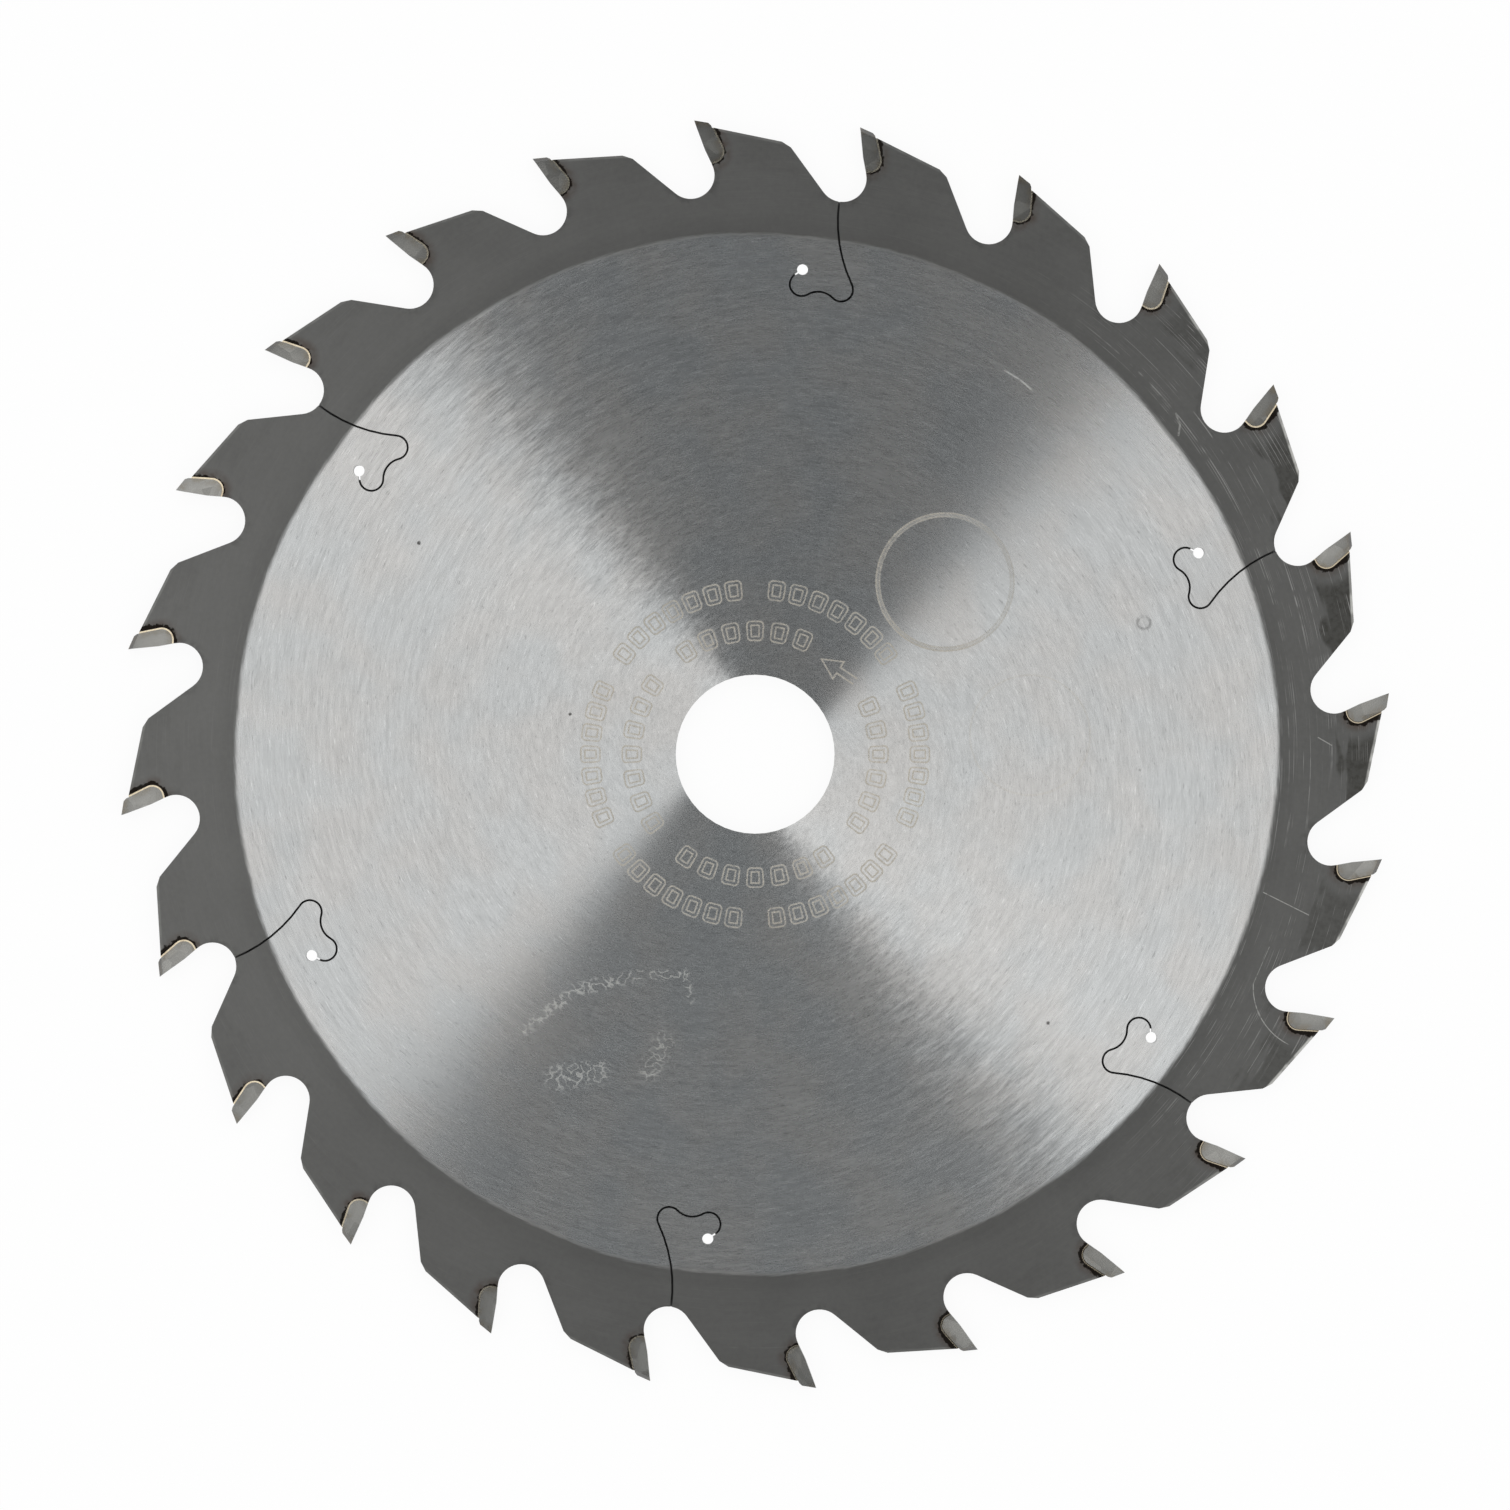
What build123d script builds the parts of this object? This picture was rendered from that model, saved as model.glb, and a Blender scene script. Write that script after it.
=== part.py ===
from build123d import *

import os
from math import cos, degrees, atan2, radians, sin, sqrt, tan

# Carbide-tipped circular saw blade for a hand-held saw.
# The blade lies flat: its axis is +Z, its origin is the bore's centre at mid-thickness, and its
# teeth face counter-clockwise seen from +Z. Lengths are in mm and angles in degrees.

# Blade
blade_diameter = 160.0
plate_thickness = 1.6
kerf = 2.2
bore_diameter = 20.0
tooth_count = 24
first_tooth_angle = 5.5

# Gullet, a chain from the cutting corner of its own tooth: face, wall, floor, back and shoulder
hook_angle = 15.0
face_length = 3.88
wall_angle = 20.0
wall_length = 2.12
gullet_radius = 3.0
gullet_mouth = 8.66
shoulder_drop = 3.05
shoulder_chamfer = 0.5

# Carbide tip
tip_length = 5.13
tip_top_length = 1.74
tip_back_angle = 21.0
tip_foot_angle = 8.0
tip_heel_radius = 1.3
tip_chamfer_drop = 0.8
tip_chamfer_angle = 42.0
top_clearance = 14.0
top_bevel = 15.0
side_clearance = 2.0
side_taper = 1.0

# Braze joint and seat
braze_thickness = 0.2
braze_crown = 0.05
seat_drop = 1.13

# Expansion slots, each a chain of tangent arcs that starts at a gullet's floor
teeth_per_slot = 4
first_slot_tooth = 1
slot_width = 0.25
slot_entry_radius = 18.5
slot_entry_turn = 33.9
slot_lobe_radius = 1.49
slot_first_lobe_turn = 161.1
slot_crest_radius = 2.58
slot_crest_turn = 76.0
slot_last_lobe_turn = 176.2
slot_end_length = 1.14
slot_hole_diameter = 1.4

# How far cutting outlines run past what they cut
overrun = 3.0

os.makedirs("parts", exist_ok=True)

# Everything on a tooth is drawn on the tooth that points along +Y, with +X behind it
tip_circle = blade_diameter / 2
tooth_pitch = 360 / tooth_count
corner = Vector(0, tip_circle)


def polar(x, y, angle):
    """The point x, y of the drawn tooth, as it stands on the tooth that is angle ahead."""
    return Vector(x, y).rotate(Axis.Z, angle)


# One gullet: the ground face, the wall under it, the round floor and the back up to the shoulder
face_foot = corner + Vector(sin(radians(hook_angle)), -cos(radians(hook_angle))) * face_length
wall_run = Vector(sin(radians(wall_angle)), -cos(radians(wall_angle)))
wall_foot = face_foot + wall_run * wall_length
floor_centre = wall_foot + wall_run.rotate(Axis.Z, -90) * gullet_radius
shoulder_radius = tip_circle - shoulder_drop
shoulder = Vector(-gullet_mouth, sqrt(shoulder_radius**2 - gullet_mouth**2))

# The corner where the back of the plate meets the braze, and the back line through it
seat_wall = braze_thickness / cos(radians(tip_back_angle))
seat_corner_x = tip_top_length + seat_drop * tan(radians(tip_back_angle)) + seat_wall
seat_corner = Vector(seat_corner_x, tip_circle - seat_drop)
heel = shoulder.rotate(Axis.Z, -tooth_pitch)
back_rise = (seat_corner.Y - heel.Y) / (heel.X - seat_corner.X)
back_start_y = seat_corner.Y + back_rise * seat_corner.X

with BuildSketch() as gullet:
    with BuildLine():
        floor_circle = CenterArc(floor_centre, gullet_radius, 0, 360, mode=Mode.PRIVATE)
        back_wall = ConstrainedLines(
            floor_circle, shoulder, selector=lambda lines: lines.sort_by(Axis.Y)[0]
        )
        floor_bottom = floor_centre - Vector(0, gullet_radius)
        ThreePointArc(wall_foot, floor_bottom, back_wall @ 0)
        face_top = corner + Vector(-tan(radians(hook_angle)), 1) * overrun
        next_back_start = polar(0, back_start_y, tooth_pitch)
        next_outside = polar(0, tip_circle + overrun, tooth_pitch)
        Polyline(shoulder, next_back_start, next_outside, face_top, face_foot, wall_foot)
    make_face()
    chamfer(gullet.vertices().sort_by_distance(shoulder)[0], length=shoulder_chamfer)

# Side outline of a tip, before its top is ground
with BuildSketch() as tip_outline:
    with BuildLine():
        stock_top = tip_circle + overrun / 2
        back_lean = tan(radians(tip_back_angle))
        chamfer_foot = Vector(tip_top_length + tip_chamfer_drop * back_lean,
                              tip_circle - tip_chamfer_drop)
        chamfer_lean = tan(radians(tip_chamfer_angle))
        chamfer_top = Vector(chamfer_foot.X - (stock_top - chamfer_foot.Y) * chamfer_lean, stock_top)
        tip_heel = Vector(tip_top_length + tip_length * back_lean, tip_circle - tip_length)
        foot_fall = (tip_heel.X - floor_centre.X) * tan(radians(tip_foot_angle))
        Polyline(
            (floor_centre.X, stock_top),
            chamfer_top,
            chamfer_foot,
            tip_heel,
            (floor_centre.X, tip_heel.Y - foot_fall),
            close=True,
        )
    make_face()
    fillet(tip_outline.vertices().sort_by_distance(tip_heel)[0], radius=tip_heel_radius)
    add(gullet.sketch, mode=Mode.SUBTRACT)

# The seat that the tip and its braze fill
with BuildSketch() as seat:
    add(tip_outline.sketch)
    offset(amount=braze_thickness, kind=Kind.INTERSECTION)

# Plane of the ground top: it falls to the back by the clearance and across the tip by the bevel
cutting_corner = Vector(0, tip_circle, kerf / 2)
top_back = Vector(cos(radians(top_clearance)), -sin(radians(top_clearance)))
top_across = Vector(0, -sin(radians(top_bevel)), -cos(radians(top_bevel)))
top_plane = Plane(cutting_corner, x_dir=top_back, z_dir=top_back.cross(top_across))

# Planes of the ground sides: both fall in from the cutting corner, to the back and to the root
side_slope = Vector(tan(radians(side_clearance)), -tan(radians(side_taper)))
near_side = Plane(cutting_corner, z_dir=side_slope + Vector(0, 0, 1))
far_side = Plane(cutting_corner - Vector(0, 0, kerf), z_dir=side_slope - Vector(0, 0, 1))

# Carbide tip, high corner on the +Z side
with BuildPart() as near_tip:
    add(tip_outline.sketch)
    extrude(amount=kerf / 2, both=True)
    split(bisect_by=top_plane, keep=Keep.BOTTOM)
    split(bisect_by=near_side, keep=Keep.BOTTOM)
    split(bisect_by=far_side, keep=Keep.BOTTOM)

# The other hand, high corner on the -Z side
with BuildPart() as far_tip:
    add(near_tip.part)
    mirror(about=Plane.XY, mode=Mode.REPLACE)

# Braze: a layer as thick as the gap, proud of the plate, ground off level with the seat's corner
with BuildPart() as braze:
    with BuildSketch():
        add(seat.sketch)
        add(tip_outline.sketch, mode=Mode.SUBTRACT)
        add(gullet.sketch, mode=Mode.SUBTRACT)
        with Locations(seat_corner):
            Rectangle(2 * overrun, 2 * overrun, align=(Align.MAX, Align.MIN), mode=Mode.SUBTRACT)
    extrude(amount=plate_thickness / 2 + braze_crown, both=True)

# Centre line of an expansion slot, drawn with the gullet's floor on +Y
floor_distance = floor_centre.length
slot_mouth = Vector(0, floor_distance - gullet_radius + slot_width)
with BuildLine() as slot_path:
    entry = JernArc(slot_mouth, (0, -1), slot_entry_radius, slot_entry_turn)
    first_lobe = JernArc(entry @ 1, entry % 1, slot_lobe_radius, -slot_first_lobe_turn)
    crest = JernArc(first_lobe @ 1, first_lobe % 1, slot_crest_radius, slot_crest_turn)
    last_lobe = JernArc(crest @ 1, crest % 1, slot_lobe_radius, -slot_last_lobe_turn)
    slot_end = Line(last_lobe @ 1, last_lobe @ 1 + (last_lobe % 1) * slot_end_length)

with BuildSketch() as slot:
    trace(slot_path.line, slot_width)
    with Locations(slot_end @ 1):
        Circle(slot_hole_diameter / 2)

# Saw plate
first_rotation = first_tooth_angle - 90
floor_lead = degrees(atan2(-floor_centre.X, floor_centre.Y))
slot_step = tooth_pitch * teeth_per_slot
slot_count = (tooth_count - first_slot_tooth - 1) // teeth_per_slot + 1
slot_rotation = first_rotation + floor_lead + tooth_pitch * first_slot_tooth
with BuildPart() as saw_plate:
    with BuildSketch():
        Circle(tip_circle)
        with PolarLocations(0, tooth_count, start_angle=first_rotation):
            add(gullet.sketch, mode=Mode.SUBTRACT)
            add(seat.sketch, mode=Mode.SUBTRACT)
        with PolarLocations(0, slot_count, slot_rotation, slot_step * slot_count):
            add(slot.sketch, mode=Mode.SUBTRACT)
        Circle(bore_diameter / 2, mode=Mode.SUBTRACT)
    extrude(amount=plate_thickness / 2, both=True)
saw_plate.part.label = "saw_plate"
export_step(saw_plate.part, "parts/saw_plate.step")

# Tips and braze joints, alternate teeth ground to opposite hands
for tooth in range(tooth_count):
    high_side_up = tooth % 2 == 0
    placing = (0, 0, first_rotation + tooth_pitch * tooth)
    with BuildPart() as carbide_tip:
        add(near_tip.part if high_side_up else far_tip.part, rotation=placing)
    carbide_tip.part.label = f"carbide_tip_{tooth + 1:02d}"
    export_step(carbide_tip.part, f"parts/carbide_tip_{tooth + 1:02d}.step")
    with BuildPart() as braze_joint:
        add(braze.part, rotation=placing)
    braze_joint.part.label = f"braze_joint_{tooth + 1:02d}"
    export_step(braze_joint.part, f"parts/braze_joint_{tooth + 1:02d}.step")
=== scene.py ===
from math import cos, pi, radians, sin

import bmesh
import bpy
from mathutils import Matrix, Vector

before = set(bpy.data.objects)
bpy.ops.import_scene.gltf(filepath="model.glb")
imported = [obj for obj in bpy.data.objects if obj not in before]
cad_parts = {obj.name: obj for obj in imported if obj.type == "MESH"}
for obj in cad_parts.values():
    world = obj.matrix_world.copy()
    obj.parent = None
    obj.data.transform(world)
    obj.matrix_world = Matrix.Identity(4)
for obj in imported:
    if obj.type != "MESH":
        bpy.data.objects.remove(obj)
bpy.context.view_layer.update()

# Saw plate: one disc of hardened steel, laser cut with its bore, gullets, tip seats and curled
# slots. Its faces are ground inside the rim, by a wheel whose marks wind slightly inwards, and
# the rim keeps its dark heat-treated skin. The outlines round the bore are burnt in by laser.

# Lengths are in mm, angles in degrees, and a colour is written as it looks, from 0 to 255
bore_radius = 10.0
slot_mouth_radius = 70.1
tooth_count = 24
tooth_pitch = 360 / tooth_count
first_tooth_angle = 5.5

# A tooth's own stretch of the rim starts this far ahead of its spoke
stretch_ahead = 10.0

# The seat under a tip and the gullet before it, on the tooth that points along +Y
seat_heel = (1.909, 75.930)
seat_radius = 1.5
seat_back_angle = 21.0
seat_back_length = 2.6
seat_foot_angle = 8.0
seat_foot_length = 0.5
gullet_centre = (-1.09, 73.234)
gullet_radius = 3.0


def linear(colour):
    """A colour as it looks, from 0 to 255, as the plain light values that a shader takes."""
    looks = [part / 255 for part in colour]
    light = [v / 12.92 if v <= 0.04045 else ((v + 0.055) / 1.055) ** 2.4 for v in looks]
    return (*light, 1.0)


def way(angle):
    """The direction in the plate at this angle, counter-clockwise from the right."""
    return (cos(radians(angle)), sin(radians(angle)), 0)


class Finish:
    """A finish while it is being mixed: its material, its nodes and its shader."""

    def __init__(self, name, metallic):
        self.material = bpy.data.materials.new(name)
        self.material.use_nodes = True
        self.nodes = self.material.node_tree.nodes
        self.shader = self.nodes["Principled BSDF"]
        self.give("Metallic", metallic)
        self.place = self.scaled(self.node("ShaderNodeTexCoord").outputs["Object"], 1000.0)
        self.x, self.y, self.z = self.parts(self.place)
        self.flat = self.vector("MULTIPLY", self.place, (1, 1, 0))
        self.radius = self.vector("LENGTH", self.flat)
        self.angle = self.maths("ARCTAN2", self.y, self.x)
        self.spoke = self.vector("NORMALIZE", self.flat)
        self.spoke_x, self.spoke_y, _ = self.parts(self.spoke)
        self.across = self.vector("CROSS_PRODUCT", (0, 0, 1), self.spoke)

    def feed(self, socket, value):
        """Joins a socket to an output, or gives it a plain value."""
        if isinstance(value, bpy.types.NodeSocket):
            self.material.node_tree.links.new(value, socket)
        else:
            socket.default_value = value

    def give(self, name, value):
        """Feeds an input of the shader."""
        self.feed(self.shader.inputs[name], value)

    def node(self, kind, *values, **settings):
        """A new node, with its first inputs fed in order."""
        made = self.nodes.new(kind)
        for name, setting in settings.items():
            setattr(made, name, setting)
        for socket, value in zip(made.inputs, values):
            self.feed(socket, value)
        return made

    def maths(self, operation, *values):
        return self.node("ShaderNodeMath", *values, operation=operation).outputs[0]

    def vector(self, operation, *values):
        made = self.node("ShaderNodeVectorMath", *values, operation=operation)
        single = operation in ("LENGTH", "DOT_PRODUCT", "DISTANCE")
        return made.outputs["Value" if single else "Vector"]

    def scaled(self, vector, amount):
        made = self.node("ShaderNodeVectorMath", vector, operation="SCALE")
        self.feed(made.inputs["Scale"], amount)
        return made.outputs["Vector"]

    def parts(self, vector):
        return self.node("ShaderNodeSeparateXYZ", vector).outputs

    def joined(self, x, y, z=0.0):
        return self.node("ShaderNodeCombineXYZ", x, y, z).outputs[0]

    def chain(self, operation, values):
        """Takes the values together by one operation, from the first to the last."""
        total = values[0]
        for value in values[1:]:
            total = self.maths(operation, total, value)
        return total

    def sum(self, *values):
        return self.chain("ADD", values)

    def times(self, *values):
        return self.chain("MULTIPLY", values)

    def most(self, *values):
        return self.chain("MAXIMUM", values)

    def least(self, *values):
        return self.chain("MINIMUM", values)

    def less(self, value, amount):
        return self.maths("SUBTRACT", value, amount)

    def gap(self, value, amount):
        """How far a value is from an amount, either way."""
        return self.maths("ABSOLUTE", self.less(value, amount))

    def swing(self, noise, share):
        """A noise as a swing to both sides of 0, by half of this share at most."""
        return self.times(self.less(noise, 0.5), share)

    def without(self, value, mask):
        """value where mask is 0, falling to nothing where it is 1."""
        return self.times(value, self.less(1.0, mask))

    def fade(self, value, start, end, low=0.0, high=1.0):
        """Goes smoothly from low, where value is start, to high, where it is end."""
        return self.node(
            "ShaderNodeMapRange", value, start, end, low, high, interpolation_type="SMOOTHSTEP"
        ).outputs[0]

    def noise(self, place, scale, detail=2.0, roughness=0.5):
        made = self.node("ShaderNodeTexNoise")
        self.feed(made.inputs["Vector"], place)
        self.feed(made.inputs["Scale"], scale)
        self.feed(made.inputs["Detail"], detail)
        self.feed(made.inputs["Roughness"], roughness)
        return made.outputs[0]

    def over(self, under, colour, share):
        """The colour under, with a share of another colour laid over it."""
        made = self.node("ShaderNodeMix", data_type="RGBA")
        self.feed(made.inputs[0], share)
        self.feed(made.inputs[6], under)
        self.feed(made.inputs[7], colour)
        return made.outputs[2]

    def toned(self, colour, tone):
        """A colour made lighter or darker by a tone, where 1 leaves it as it is."""
        return self.scaled(linear(colour)[:3], tone)

    def bump(self, height, depth_mm):
        """Relief in which a height of 1 stands depth_mm out."""
        made = self.node("ShaderNodeBump")
        self.feed(made.inputs["Distance"], depth_mm / 1000)
        self.feed(made.inputs["Height"], height)
        return made.outputs[0]

    def flatness(self):
        """1 where the surface lies level, face up or face down, and 0 where it is upright."""
        normal = self.node("ShaderNodeNewGeometry").outputs["Normal"]
        return self.maths("ABSOLUTE", self.parts(normal)[2])

    def towards(self, angle):
        """1 on the spoke at this angle, 0 on the spokes square to it and -1 opposite."""
        return self.vector("DOT_PRODUCT", self.spoke, way(angle))

    def tooth_place(self):
        """The point as it lies on its own tooth, turned so that the tooth points along +Y."""
        past_first = self.less(self.angle, radians(first_tooth_angle))
        lead = self.maths(
            "WRAP", past_first, radians(stretch_ahead), radians(stretch_ahead - tooth_pitch)
        )
        behind = self.times(self.radius, self.maths("SINE", lead), -1.0)
        out = self.times(self.radius, self.maths("COSINE", lead))
        return self.joined(behind, out)

    def from_seat(self, tooth_place):
        """Distance from the line of the seat, along its back, round its heel and along its foot."""
        offset = self.vector("SUBTRACT", tooth_place, (*seat_heel, 0))
        for angle, length in (
            (90 + seat_back_angle, seat_back_length),
            (180 + seat_foot_angle, seat_foot_length),
        ):
            along = self.vector("DOT_PRODUCT", offset, way(angle))
            along = self.least(self.most(along, 0.0), length)
            offset = self.vector("SUBTRACT", offset, self.scaled(way(angle), along))
        return self.less(self.vector("LENGTH", offset), seat_radius)

    def from_line(self, start, end, place=None):
        """Distance from a straight line between two points of the plate."""
        start, end = Vector((*start, 0)), Vector((*end, 0))
        run = end - start
        offset = self.vector("SUBTRACT", place or self.flat, tuple(start))
        share = self.vector("DOT_PRODUCT", offset, tuple(run / run.length_squared))
        share = self.least(self.most(share, 0.0), 1.0)
        return self.vector("DISTANCE", offset, self.scaled(tuple(run), share))

    def from_point(self, centre):
        return self.vector("DISTANCE", self.flat, (*centre, 0))

    def line(self, distance, width, soft=0.03):
        """1 on a drawn line of this width, and 0 off it."""
        return self.fade(self.maths("ABSOLUTE", distance), width / 2 + soft, width / 2 - soft)

    def circle(self, centre, radius, width, soft=0.03):
        """1 on a drawn circle, and 0 off it."""
        return self.line(self.less(self.from_point(centre), radius), width, soft)


plate = Finish("ground_plate_steel", metallic=1.0)
on_face = plate.fade(plate.flatness(), 0.4, 0.6)
upper_face = plate.times(on_face, plate.maths("GREATER_THAN", plate.z, 0.0))

# Grinding marks: the wheel's marks wind inwards from a seam straight below the bore, by the lay's
# offset in each radian. Their own spoke, square to them, is turned by as much, and wanders.
degrees_in_radian = 57.3
lay_offset = 3.9
lay_unevenness = 0.14
ground_radius = 65.3
ground_edge = 0.4
wide_side_angle = 25


def arc_marks(outward, arc, width, shift, detail=1.0, roughness=0.5):
    """Noise drawn out round the bore, arc long in degrees, and width wide in mm of outward."""
    round_way = plate.scaled(plate.spoke, degrees_in_radian / arc)
    steps = plate.joined(*shift, plate.times(outward, 1 / width))
    return plate.noise(plate.vector("ADD", round_way, steps), 1.0, detail, roughness)


away_from_seam = plate.maths("ARCTAN2", plate.times(plate.x, -1.0), plate.y)
lay_step = plate.sum(plate.radius, plate.times(away_from_seam, lay_offset))
fine_marks = arc_marks(lay_step, 1.9, 0.17, (3.1, -3.1), detail=3.0, roughness=0.6)
coarse_marks = arc_marks(lay_step, 5.0, 0.5, (17.3, -17.3), detail=2.0)
light_dashes = plate.fade(arc_marks(lay_step, 1.7, 0.16, (41.3, -41.3)), 0.66, 0.76)
dark_dashes = plate.fade(arc_marks(lay_step, 1.4, 0.19, (53.9, -53.9)), 0.34, 0.24)
lay_wander = plate.sum(
    lay_offset,
    plate.times(plate.less(fine_marks, 0.5), plate.radius, lay_unevenness),
    plate.times(plate.less(coarse_marks, 0.5), plate.radius, lay_unevenness),
)
lay_spoke = plate.vector(
    "NORMALIZE", plate.vector("ADD", plate.flat, plate.scaled(plate.across, lay_wander))
)

# The ground disc ends in a soft, ragged edge on the rim's skin, and is widest on one side
ragged = plate.sum(
    plate.swing(fine_marks, 0.7), plate.swing(plate.noise(plate.spoke, scale=3.0), 1.0)
)
wider = plate.fade(plate.towards(wide_side_angle), 0.6, 0.95, 0.0, -0.5)
past_ground = plate.sum(plate.radius, ragged, wider)
ground = plate.times(
    plate.fade(past_ground, ground_radius + ground_edge, ground_radius - ground_edge), on_face
)

# Laser outlines: the arrow of rotation, a ring, a fainter one, and two rows of plain blocks round
# the bore, with a gap in the inner row where the arrow stands
laser_line = 0.20

arrow_tip = (8.34, 11.97)
arrow_angle = -33.7
arrow_length = 5.1
arrow_end_soft = 0.05
arrow_head_length = 2.56
arrow_head_half_width = 1.27
arrow_shaft_half_width = 0.42
arrow_shaft_overlap = 0.2

ring_centre = (23.86, 21.64)
ring_outer_radius = 8.66
ring_inner_radius = 8.24
ring_middle_radius = (ring_outer_radius + ring_inner_radius) / 2
ring_middle_width = 0.3
ring_pales_from = 23.0
ring_pales_to = 31.0
faint_ring_centre = (34.54, 2.41)
faint_ring_radius = 7.54
faint_ring_line = 0.25

block_width = 2.0
block_height = 2.4
block_corner = 0.5
block_stroke = 0.5
blocks_in_group = 8
outer_row_radius = 20.7
outer_row_blocks = 48
inner_row_radius = 15.5
inner_row_blocks = 32
arrow_gap_angle = 45.0
arrow_gap_half_blocks = 1.5

from_tip = plate.vector("SUBTRACT", plate.flat, (*arrow_tip, 0))
back_from_tip = plate.vector("DOT_PRODUCT", from_tip, way(arrow_angle))
beside_arrow = plate.vector("DOT_PRODUCT", from_tip, way(arrow_angle + 90))
beside_arrow = plate.maths("ABSOLUTE", beside_arrow)
head_slope = Vector((arrow_head_length, arrow_head_half_width)).normalized()
arrow_head = plate.most(
    plate.less(back_from_tip, arrow_head_length),
    plate.less(plate.times(beside_arrow, head_slope.x), plate.times(back_from_tip, head_slope.y)),
)
arrow_shaft = plate.most(
    plate.less(beside_arrow, arrow_shaft_half_width),
    plate.less(arrow_head_length - arrow_shaft_overlap, back_from_tip),
)
arrow_outline = plate.times(
    plate.line(plate.least(arrow_head, arrow_shaft), laser_line),
    plate.fade(back_from_tip, arrow_length + arrow_end_soft, arrow_length - arrow_end_soft),
)

ring_outline = plate.times(
    plate.most(
        plate.circle(ring_centre, ring_outer_radius, laser_line),
        plate.times(plate.circle(ring_centre, ring_inner_radius, laser_line), 0.8),
        plate.times(plate.circle(ring_centre, ring_middle_radius, ring_middle_width), 0.45),
    ),
    plate.fade(plate.x, ring_pales_from, ring_pales_to, 1.0, 0.45),
)
faint_ring = plate.circle(faint_ring_centre, faint_ring_radius, faint_ring_line)


def block_row(row_radius, count):
    """Double outlines of plain rounded blocks, evenly round the bore, a gap after each group."""
    pitch = 2 * pi / count
    group = pitch * blocks_in_group
    from_middle = plate.maths("WRAP", plate.angle, pitch / 2, -pitch / 2)
    sideways = plate.maths("ABSOLUTE", plate.times(from_middle, row_radius))
    past_side = plate.less(sideways, block_width / 2 - block_corner)
    past_end = plate.less(plate.gap(plate.radius, row_radius), block_height / 2 - block_corner)
    round_corner = plate.joined(plate.most(past_side, 0.0), plate.most(past_end, 0.0))
    inside = plate.least(plate.most(past_side, past_end), 0.0)
    edge = plate.less(plate.sum(plate.vector("LENGTH", round_corner), inside), block_corner)
    outlines = plate.most(
        plate.line(edge, laser_line), plate.line(plate.sum(edge, block_stroke), laser_line)
    )
    in_group = plate.maths("ABSOLUTE", plate.maths("WRAP", plate.angle, group / 2, -group / 2))
    return plate.times(outlines, plate.maths("LESS_THAN", in_group, group / 2 - pitch / 2))


past_arrow = plate.gap(plate.angle, radians(arrow_gap_angle))
arrow_gap = radians(arrow_gap_half_blocks * 360 / inner_row_blocks)
blocks = plate.most(
    block_row(outer_row_radius, outer_row_blocks),
    plate.times(
        block_row(inner_row_radius, inner_row_blocks),
        plate.maths("GREATER_THAN", past_arrow, arrow_gap),
    ),
)
uneven = plate.noise(plate.place, scale=2.2, detail=1.0, roughness=0.6)
laser = plate.times(
    plate.most(arrow_outline, ring_outline, plate.times(faint_ring, 0.25), blocks),
    plate.fade(uneven, 0.25, 0.60, 0.5, 0.95),
    upper_face,
)

# Wear on the upper face, where the photograph shows it: scratches, each with its start, end,
# width and depth, specks and a water mark, and lines of dried residue with how far each reaches
scratch_lines = (
    ((63.88, -17.37), (69.56, -20.21), 0.10, 0.8),
    ((62.62, -28.84), (64.62, -24.23), 0.08, 0.5),
    ((70.76, 2.10), (72.44, 1.13), 0.12, 0.6),
    ((52.90, 42.80), (53.40, 41.40), 0.25, 0.35),
    ((53.40, 41.40), (53.20, 40.10), 0.25, 0.45),
    ((31.40, 48.20), (33.30, 47.05), 0.20, 0.7),
    ((33.30, 47.05), (34.68, 45.86), 0.20, 1.0),
)
curved_scratch_centre = (70.55, -29.34)
curved_scratch_radius = 7.95
curved_scratch_width = 0.10
curved_scratch_right = (67.2, 66.6)
curved_scratch_top = (-28.7, -29.0)
speck_spots = (
    ((-42.24, 26.54), 0.35),
    ((-23.27, 5.05), 0.30),
    ((48.37, -1.98), 0.25),
    ((36.81, -33.78), 0.30),
)
water_mark_centre = (48.86, 16.55)
water_mark_radius = 0.8
water_mark_width = 0.35
residue_lines = (
    ((-28.92, -34.66), (-22.64, -29.63), 1.0),
    ((-22.64, -29.63), (-14.47, -27.75), 1.1),
    ((-14.47, -27.75), (-8.80, -27.75), 0.9),
    ((-8.80, -27.75), (-8.10, -30.90), 0.7),
    ((-24.80, -40.60), (-19.50, -40.00), 2.2),
    ((-13.20, -39.80), (-11.60, -36.20), 1.9),
)

curved_scratch = plate.times(
    plate.circle(curved_scratch_centre, curved_scratch_radius, curved_scratch_width),
    plate.fade(plate.x, *curved_scratch_right),
    plate.fade(plate.y, *curved_scratch_top),
    0.8,
)
straight_scratches = (
    plate.times(plate.line(plate.from_line(start, end), width), depth)
    for start, end, width, depth in scratch_lines
)
scratches = plate.times(
    plate.most(curved_scratch, *straight_scratches),
    plate.fade(uneven, 0.25, 0.55, 0.3, 1.0),
    upper_face,
)

blotches = plate.noise(plate.place, scale=1.6, roughness=0.6)
water_mark = plate.circle(water_mark_centre, water_mark_radius, water_mark_width, soft=0.15)
spots = (plate.fade(plate.from_point(spot), size, size / 3) for spot, size in speck_spots)
specks = plate.times(
    plate.most(plate.times(water_mark, 0.4), *spots),
    plate.fade(blotches, 0.35, 0.60, 0.2, 1.0),
    upper_face,
)

residue_reach = plate.most(
    *(
        plate.fade(plate.from_line(start, end), reach, reach / 3)
        for start, end, reach in residue_lines
    )
)
curls = plate.gap(plate.noise(plate.place, scale=1.0, detail=1.0), 0.5)
residue = plate.times(plate.fade(curls, 0.055, 0.015), residue_reach, upper_face)

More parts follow.
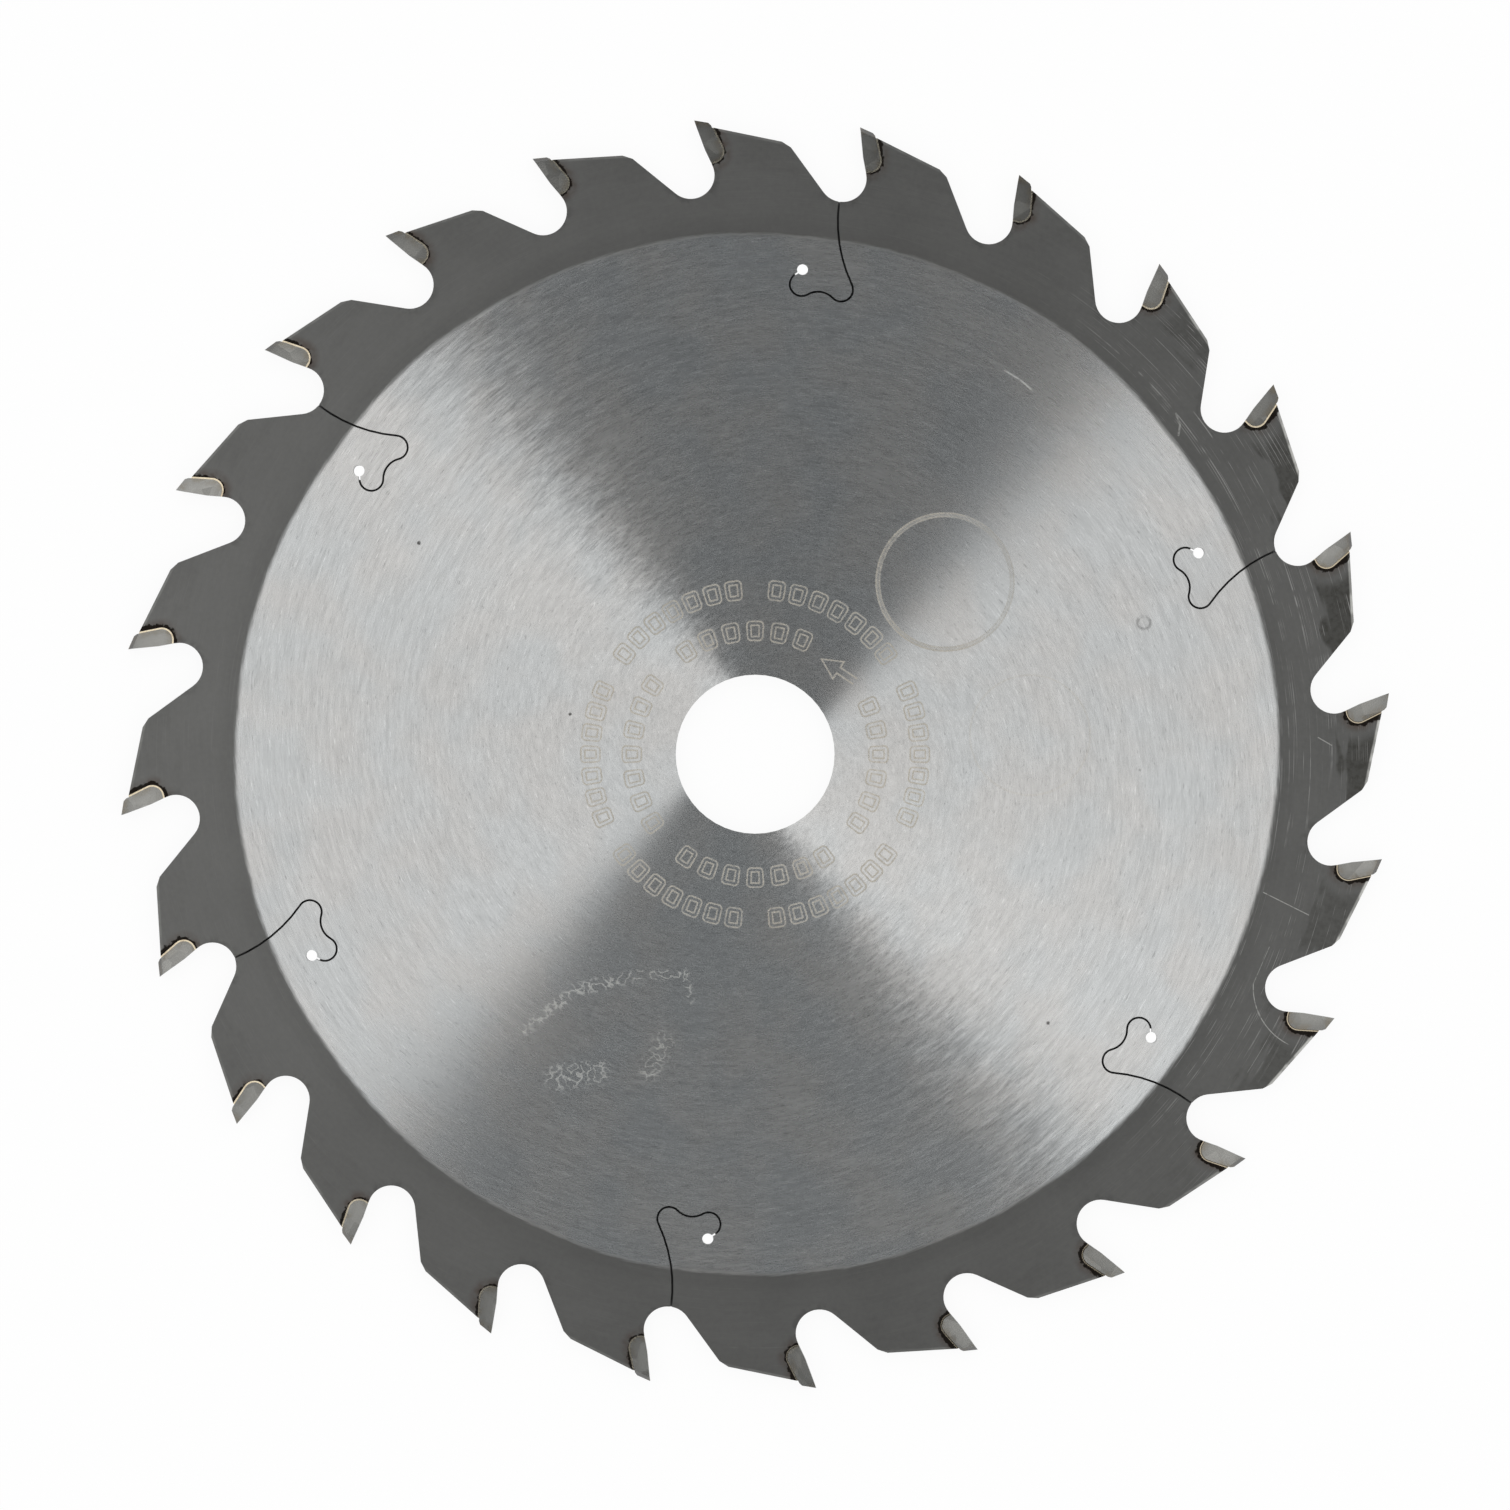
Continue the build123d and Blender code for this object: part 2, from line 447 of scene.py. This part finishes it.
# The heat of brazing leaves a black line of flux round each seat, wider towards the tooth's top
# and heavier on two sides of the blade. A brown tint lies beyond it, and the face is darker in
# patches along the gullet's edge.
flux_line_width = 0.26
flux_line_core = 0.10
flux_widens_from = 76.0
flux_widens_to = 78.4
heavy_flux_angle = -18
tint_reach = 1.5
gullet_edge_reach = 1.2

tooth_place = plate.tooth_place()
tooth_y = plate.parts(tooth_place)[1]
seat_distance = plate.from_seat(tooth_place)
heavy_flux = plate.most(
    plate.fade(plate.towards(heavy_flux_angle), 0.25, 0.70),
    plate.fade(plate.spoke_x, -0.90, -0.98),
)
from_flux = plate.sum(
    seat_distance,
    plate.swing(blotches, -1.0),
    plate.times(heavy_flux, -0.22),
    plate.fade(tooth_y, flux_widens_from, flux_widens_to, 0.0, -0.20),
)
flux_line = plate.fade(from_flux, flux_line_width, flux_line_core)
tint_noise = plate.noise(plate.place, scale=0.7, roughness=0.6)
tint = plate.times(
    plate.fade(seat_distance, tint_reach, 0.1), plate.fade(tint_noise, 0.35, 0.7, 0.25, 1.0)
)
from_gullet = plate.vector("DISTANCE", tooth_place, (*gullet_centre, 0))
from_gullet = plate.less(from_gullet, gullet_radius)
gullet_edge_darkening = plate.times(
    plate.fade(from_gullet, gullet_edge_reach, 0.0), plate.fade(tint_noise, 0.45, 0.65), 0.25
)

# Wear of the rim, mostly on its right side: scratches that run round it. On the teeth there are
# dark patches of painted reflection, and a bright line along the back of the tooth and of the one
# ahead of it, partly edge wear and partly a painted highlight.
right_side_angle = 5
patch_side_angle = 10
patch_starts = 73.5
patch_full = 74.8
back_highlight_width = 0.6
back_edge_lines = (
    ((2.4, 78.87), (7.1, 77.43)),
    ((-14.2, 76.66), (-8.7, 76.46)),
)

right_side = plate.fade(plate.towards(right_side_angle), 0.58, 0.85)
broken = plate.noise(plate.place, scale=0.45, detail=1.0, roughness=0.6)
long_scratches = plate.fade(arc_marks(plate.radius, 36.0, 0.11, (2.3, 2.3)), 0.63, 0.71)
short_scratches = plate.fade(arc_marks(plate.radius, 7.0, 0.09, (31.4, 31.4)), 0.67, 0.74)
rim_scratches = plate.times(
    plate.most(long_scratches, plate.times(short_scratches, 0.65)),
    plate.sum(right_side, 0.12),
    plate.fade(broken, 0.38, 0.58),
    on_face,
)
patch_edge = plate.sum(
    plate.radius, plate.swing(arc_marks(plate.radius, 4.0, 1.5, (11.7, 11.7)), 9.0)
)
patch_side = plate.fade(plate.towards(patch_side_angle), 0.90, 0.98)
# Painted reflection: dark patches on the teeth, mostly on the right side of the blade
painted_dark_reflection = plate.times(
    plate.fade(patch_edge, patch_starts, patch_full),
    plate.fade(seat_distance, 1.2, 3.0),
    plate.fade(blotches, 0.3, 0.6, 1.0, 0.75),
    plate.sum(plate.times(patch_side, 0.45), plate.times(right_side, 0.40), 0.08),
)
from_back = plate.least(
    *(plate.from_line(start, end, tooth_place) for start, end in back_edge_lines)
)
# Edge wear with a painted highlight, brightest on the right side of the blade
back_wear_and_highlight = plate.times(
    plate.line(from_back, back_highlight_width, soft=0.1),
    plate.sum(plate.times(right_side, 0.7), 0.15),
    plate.fade(broken, 0.40, 0.55, 0.5, 1.0),
)

# Colour of the faces: the rim's skin, the ground steel over it, both with some painted shade in
# their tones, and then the marks and the wear
cool_steel = (203, 205, 205)
warm_steel = (206, 205, 203)
rim_skin = (118, 118, 116)
painted_reflection_dark = (64, 63, 58)
laser_tan = (222, 212, 192)
residue_white = (222, 222, 214)
speck_dark = (60, 56, 52)
heat_tint = (84, 62, 48)
gullet_edge_dark = (52, 50, 48)
scratch_bright = (225, 225, 220)
scorch = (34, 29, 24)
skin_darkens_from = 68.5
skin_darkens_to = 66.0

patches = plate.noise(plate.place, scale=0.09)
# The skin's tone holds a painted shade: darker on the right of the blade, lighter on the left
rim_tone_and_shade = plate.sum(
    1.0,
    plate.times(plate.spoke_x, -0.10),
    plate.swing(blotches, 0.16),
    plate.swing(patches, 0.25),
    plate.swing(coarse_marks, 0.10),
    plate.fade(plate.radius, skin_darkens_to, skin_darkens_from, -0.08, 0.0),
)
rim_colour = plate.toned(rim_skin, rim_tone_and_shade)
rim_colour = plate.over(rim_colour, linear(painted_reflection_dark), plate.times(painted_dark_reflection, 0.8))
rim_colour = plate.over(rim_colour, linear(warm_steel), plate.times(rim_scratches, 0.42))

# The ground steel's tone holds a painted shade, a little darker on the upper half of the blade
ground_tone_and_shade = plate.sum(
    1.0,
    plate.swing(fine_marks, 0.45),
    plate.swing(coarse_marks, 0.36),
    plate.times(light_dashes, 0.22),
    plate.times(dark_dashes, -0.22),
    plate.times(plate.spoke_y, -0.06),
)
ground_tint = plate.over(linear(cool_steel), linear(warm_steel), plate.fade(patches, 0.35, 0.65))
face_colour = plate.over(rim_colour, plate.scaled(ground_tint, ground_tone_and_shade), ground)
for colour, share in (
    (laser_tan, plate.times(laser, 0.6)),
    (residue_white, plate.times(residue, 0.42)),
    (speck_dark, plate.times(specks, 0.8)),
    (heat_tint, plate.times(tint, 0.55)),
    (gullet_edge_dark, gullet_edge_darkening),
    (scratch_bright, plate.times(scratches, 0.72)),
    (scratch_bright, plate.times(back_wear_and_highlight, on_face)),
    (scorch, plate.times(flux_line, 0.92)),
):
    face_colour = plate.over(face_colour, linear(colour), share)

# The cut walls are striped from face to face by the laser, darkened by painted shade inside the
# slots and the relief holes, and the bore is reamed round
cut_wall = (104, 98, 90)
bore_steel = (150, 148, 142)
bore_wall_reach = 0.5
slot_shade_soft = 0.2

stripes_place = plate.vector("MULTIPLY", plate.place, (1, 1, 0.06))
reamed_place = plate.vector("MULTIPLY", plate.place, (0.15, 0.15, 9.0))
stripes = plate.noise(stripes_place, scale=5.0, roughness=0.6)
reamed = plate.noise(reamed_place, scale=1.0, roughness=0.6)
in_bore = plate.maths("LESS_THAN", plate.radius, bore_radius + bore_wall_reach)
wall_marks = plate.sum(plate.without(stripes, in_bore), plate.times(reamed, in_bore))
# Painted shade: the walls inside the slot mouths are darkened to a tenth
slot_shade = plate.fade(
    plate.radius, slot_mouth_radius - slot_shade_soft, slot_mouth_radius + slot_shade_soft, 0.1, 1.0
)
wall_tone = plate.times(plate.fade(wall_marks, 0.3, 0.7, 0.7, 1.25), slot_shade)
wall_colour = plate.over(plate.toned(cut_wall, wall_tone), linear(bore_steel), in_bore)
plate.give("Base Color", plate.over(wall_colour, face_colour, on_face))

# Shine: the ground face draws a reflection out across its marks, and the skin scatters it
skin_roughness = 0.55
ground_roughness = 0.27
skin_relief = 0.0003
ground_relief = 0.001
wall_relief = 0.018

scattering = plate.most(
    plate.times(laser, 0.85), plate.times(residue, 0.5), specks, scratches
)
plate.give("Anisotropic", plate.without(plate.fade(ground, 0.0, 1.0, 0.5, 1.0), scattering))
plate.give("Tangent", lay_spoke)
rough = plate.sum(
    plate.fade(ground, 0.0, 1.0, skin_roughness, ground_roughness),
    plate.swing(fine_marks, 0.10),
    plate.swing(patches, 0.06),
    plate.times(flux_line, 0.2),
)
plate.give("Roughness", rough)
mark_depth = plate.sum(
    plate.times(fine_marks, on_face, plate.fade(ground, 0.0, 1.0, skin_relief, ground_relief)),
    plate.times(plate.without(wall_marks, on_face), wall_relief),
)
plate.give("Normal", plate.bump(mark_depth, depth_mm=1.0))

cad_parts["saw_plate"].material_slots[0].material = plate.material

# Carbide tips: 24 blocks of sintered tungsten carbide in cobalt, brazed into the seats and then
# ground on top, faces and sides with diamond wheels, odd and even tips to opposite hands.
# Their sides are ground square to the spokes, and carry a little burnt flux near the braze.
carbide_grey = (177, 176, 171)
carbide_dark = (167, 167, 164)
tip_stain = (138, 122, 92)
carbide_edge_tint = (0.6, 0.6, 0.6, 1.0)
tip_darkens_from = 76.0
tip_darkens_to = 80.0
steep_facet_shade = 0.38
tip_lay_turn = 0.21
carbide_roughness = 0.24
carbide_relief = 0.0008

carbide = Finish("ground_carbide", metallic=1.0)
tip_place = carbide.tooth_place()
tip_x, tip_y, _ = carbide.parts(tip_place)
tip_distance = carbide.from_seat(tip_place)
tip_solid_place = carbide.joined(tip_x, tip_y, carbide.z)
sideways_place = carbide.vector("MULTIPLY", tip_solid_place, (0.9, 9.0, 0.9))
sideways_marks = carbide.noise(sideways_place, scale=1.0, detail=3.0, roughness=0.6)
grain = carbide.noise(carbide.place, scale=3.0, detail=3.0, roughness=0.6)
each_tip = carbide.noise(carbide.scaled(carbide.spoke, 9.0), scale=1.0, detail=0.0)
stain_noise = carbide.noise(carbide.place, scale=0.8, detail=3.0, roughness=0.6)
flats = carbide.node("ShaderNodeTexVoronoi")
carbide.feed(flats.inputs["Vector"], carbide.place)
carbide.feed(flats.inputs["Scale"], 0.45)
each_flat = carbide.parts(flats.outputs["Color"])[0]

# Painted shade: darker tips at the top, bottom and right of the blade, and far darker steep facets
steep = carbide.fade(carbide.flatness(), 0.8, 0.6)
carbide_tone_and_shade = carbide.sum(
    1.0,
    carbide.swing(sideways_marks, 0.08),
    carbide.swing(grain, 0.06),
    carbide.swing(each_flat, 0.30),
    carbide.swing(each_tip, 0.45),
    carbide.times(carbide.spoke_y, carbide.spoke_y, -0.20),
    carbide.times(carbide.spoke_y, -0.12),
    carbide.fade(carbide.spoke_x, 0.6, 1.0, 0.0, -0.22),
    carbide.fade(tip_distance, -1.6, -0.3, 0.0, -0.12),
)
carbide_tone_and_shade = carbide.times(carbide_tone_and_shade, carbide.fade(steep, 0.0, 1.0, 1.0, steep_facet_shade))
towards_top = carbide.fade(tip_y, tip_darkens_from, tip_darkens_to)
stain = carbide.times(
    carbide.fade(tip_distance, -1.2, -0.2), carbide.fade(stain_noise, 0.42, 0.62)
)
carbide_colour = carbide.over(
    linear(carbide_grey), linear(carbide_dark), carbide.times(towards_top, 0.5)
)
carbide_colour = carbide.scaled(carbide_colour, carbide_tone_and_shade)
carbide_colour = carbide.over(carbide_colour, linear(tip_stain), carbide.times(stain, 0.35))
tip_lay = carbide.vector("ADD", carbide.spoke, carbide.scaled(carbide.across, tip_lay_turn))

carbide.give("Base Color", carbide_colour)
carbide.give("Specular Tint", carbide_edge_tint)
carbide.give("Anisotropic", 1.0)
carbide.give("Tangent", tip_lay)
carbide.give("Roughness", carbide.sum(carbide_roughness, carbide.swing(sideways_marks, 0.08)))
carbide.give("Normal", carbide.bump(sideways_marks, carbide_relief))

for tooth in range(1, tooth_count + 1):
    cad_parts[f"carbide_tip_{tooth:02d}"].material_slots[0].material = carbide.material

# Braze joints: silver-copper brazing alloy that ran into the gap between tip and seat, drawn to
# a thin, slightly lumpy bead on both faces of the plate and stained by the flux.
braze_gold = (252, 236, 206)
braze_brown = (150, 122, 90)
braze_painted_shade = (176, 174, 164)
burnt_angle = -30
braze_relief = 0.008

filler = Finish("braze_alloy", metallic=1.0)
lumps = filler.noise(filler.place, scale=2.6, detail=3.0, roughness=0.6)
flux_stain = filler.noise(filler.place, scale=0.9, detail=3.0, roughness=0.6)
from_plate = filler.from_seat(filler.tooth_place())
stained = filler.fade(flux_stain, 0.50, 0.70, 0.0, 0.35)
# Painted shade: the beads at the top and bottom of the blade are greyed
painted_shade_sides = filler.fade(filler.maths("ABSOLUTE", filler.spoke_y), 0.6, 0.9, 0.0, 0.6)
burnt_side = filler.fade(filler.towards(burnt_angle), 0.2, 0.9)
burnt_colour = filler.over(
    linear(scorch), linear(braze_gold), filler.fade(from_plate, -0.13, -0.09, 0.0, 0.6)
)
filler_colour = filler.toned(braze_gold, filler.fade(lumps, 0.25, 0.75, 0.8, 1.1))
filler_colour = filler.over(filler_colour, linear(braze_brown), stained)
filler_colour = filler.over(filler_colour, linear(braze_painted_shade), painted_shade_sides)
filler_colour = filler.over(filler_colour, burnt_colour, filler.times(burnt_side, 0.9))

filler.give("Base Color", filler_colour)
filler.give("Anisotropic", 1.0)
filler.give("Tangent", filler.spoke)
filler.give("Roughness", filler.fade(lumps, 0.2, 0.8, 0.20, 0.32))
filler.give("Normal", filler.bump(lumps, braze_relief))

for tooth in range(1, tooth_count + 1):
    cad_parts[f"braze_joint_{tooth:02d}"].material_slots[0].material = filler.material

# White sheet that the blade lies on, plain paper. Under the plate it is painted dark and doesn't
# glow, a painted shade, so that the slots read as they do on a real blade. Under the six relief
# holes it glows fully, a painted light.
sheet_level = -1.1
sheet_half_side = 3000.0
sheet_roughness = 0.9

# The studio's own colours are plain light values, in which 1 is white
sheet_white = (0.9, 0.9, 0.9, 1.0)
sheet_shade = (0.1, 0.1, 0.1, 1.0)
sheet_glow = 0.92

shade_inner_radius = 10.6
shade_inner_soft = 0.1
shade_outer_radius = 70.32
shade_outer_soft = 0.05
hole_count = 6
hole_circle_radius = 61.1
first_hole_angle = 84.5
hole_radius = 0.95
hole_soft = 0.05


def set_up(name, shape, material):
    """A piece of the studio, drawn in mm, which isn't part of the blade."""
    bmesh.ops.scale(shape, vec=(0.001, 0.001, 0.001), verts=shape.verts)
    mesh = bpy.data.meshes.new(name)
    shape.to_mesh(mesh)
    shape.free()
    made = bpy.data.objects.new(name, mesh)
    bpy.context.scene.collection.objects.link(made)
    mesh.materials.append(material)
    return made


sheet = Finish("white_sheet", metallic=0.0)
# Painted shade on the sheet under the plate, between the bore and the slot mouths
painted_shade_under_plate = sheet.times(
    sheet.fade(
        sheet.radius, shade_inner_radius - shade_inner_soft, shade_inner_radius + shade_inner_soft
    ),
    sheet.fade(
        sheet.radius, shade_outer_radius + shade_outer_soft, shade_outer_radius - shade_outer_soft
    ),
)
sheet.give("Base Color", sheet.over(sheet_white, sheet_shade, painted_shade_under_plate))
sheet.give("Roughness", sheet_roughness)

past_hole = sheet.less(sheet.angle, radians(first_hole_angle))
hole_lead = sheet.maths("WRAP", past_hole, pi / hole_count, -pi / hole_count)
hole_place = sheet.joined(
    sheet.times(sheet.radius, sheet.maths("COSINE", hole_lead)),
    sheet.times(sheet.radius, sheet.maths("SINE", hole_lead)),
)
from_hole = sheet.vector("DISTANCE", hole_place, (hole_circle_radius, 0, 0))
# Painted light: the sheet glows fully under each relief hole
painted_hole_light = sheet.fade(from_hole, hole_radius + hole_soft, hole_radius - hole_soft)
rays = sheet.node("ShaderNodeLightPath").outputs
seen = sheet.most(rays["Is Camera Ray"], rays["Is Glossy Ray"], rays["Is Transmission Ray"])
open_glow = sheet.times(sheet.without(1.0, painted_shade_under_plate), sheet_glow)
glow = sheet.times(sheet.most(open_glow, painted_hole_light), seen)
glowing = sheet.node("ShaderNodeEmission", (1.0, 1.0, 1.0, 1.0), 1.0)
sheet_mix = sheet.node("ShaderNodeMixShader", glow, sheet.shader.outputs[0], glowing.outputs[0])
sheet.feed(sheet.nodes["Material Output"].inputs["Surface"], sheet_mix.outputs[0])

sheet_shape = bmesh.new()
bmesh.ops.create_grid(sheet_shape, x_segments=1, y_segments=1, size=sheet_half_side)
bmesh.ops.translate(sheet_shape, vec=(0, 0, sheet_level), verts=sheet_shape.verts)
set_up("white_sheet", sheet_shape, sheet.material)

# Studio cards, which lean together over the blade and end well above the sheet. The ground steel
# draws each out into a sector: a dark card in front and one behind give the two dark sectors, and
# pale ones stand on the left and right. Strips beside the cards give the sectors their edges.
card_peak = 3000.0
card_reach = 1600.0
card_foot = 1300.0
cards = (
    ("front_card", (62.0, 117.0), (0.085, 0.095, 0.103)),
    ("front_right_edge", (48.5, 62.0), (0.010, 0.014, 0.018)),
    ("front_left_edge", (117.0, 129.5), (0.010, 0.014, 0.018)),
    ("back_card", (243.5, 298.0), (0.135, 0.142, 0.146)),
    ("back_left_edge", (230.0, 243.5), (0.030, 0.035, 0.040)),
    ("back_right_edge", (298.0, 312.0), (0.060, 0.065, 0.070)),
    ("right_card", (-18.0, 32.0), (0.92, 0.92, 0.92)),
    ("right_upper_edge", (32.0, 48.5), (1.06, 1.06, 1.06)),
    ("left_upper_edge", (129.5, 148.0), (1.20, 1.20, 1.20)),
    ("left_card", (165.0, 214.0), (0.92, 0.92, 0.92)),
    ("left_lower_edge", (214.0, 230.0), (1.04, 1.04, 1.04)),
    ("right_lower_edge", (312.0, 327.0), (1.04, 1.04, 1.04)),
)

for name, sides, shade in cards:
    card_paint = bpy.data.materials.new(name)
    card_paint.use_nodes = True
    nodes = card_paint.node_tree.nodes
    nodes.remove(nodes["Principled BSDF"])
    lit = nodes.new("ShaderNodeEmission")
    lit.inputs["Color"].default_value = (*shade, 1.0)
    card_paint.node_tree.links.new(lit.outputs[0], nodes["Material Output"].inputs["Surface"])
    card_paint.cycles.emission_sampling = "NONE"

    card_shape = bmesh.new()
    foot_middle = Vector((0, 0, card_foot))
    foot = [card_shape.verts.new(foot_middle + Vector(way(side)) * card_reach) for side in sides]
    card_shape.faces.new([*foot, card_shape.verts.new((0, 0, card_peak))])

    card = set_up(name, card_shape, card_paint)
    card.visible_camera = False
    card.visible_diffuse = False
    card.visible_shadow = False

# White tent of thin cloth round the blade and the cards, lit evenly from outside. It lights the
# whole picture, at the level at which a colour comes out about as it is written.
tent = bpy.data.worlds.new("white_tent")
tent.use_nodes = True
tent.node_tree.nodes["Background"].inputs["Color"].default_value = (1.0, 1.0, 1.0, 1.0)
tent.node_tree.nodes["Background"].inputs["Strength"].default_value = 1.0
tent.cycles.sampling_method = "NONE"
bpy.context.scene.world = tent
bpy.context.scene.view_settings.view_transform = "Standard"

# Camera: straight above the blade, as in the photograph, with the tooth at 5.5 degrees on the
# right. It stands a hair off the bore's centre, which keeps the photograph's framing.
plate_top = 0.8
camera_height = 1280.0
camera_centre = (-0.018, -0.100)
view_width = 189.77

lens = bpy.data.cameras.new("overhead_camera")
lens.sensor_width = 36.0
lens.lens = lens.sensor_width * camera_height / view_width
lens.clip_start = 0.01
lens.clip_end = 50.0
camera = bpy.data.objects.new("overhead_camera", lens)
camera.location = Vector((*camera_centre, plate_top + camera_height)) / 1000
bpy.context.scene.collection.objects.link(camera)
bpy.context.scene.camera = camera
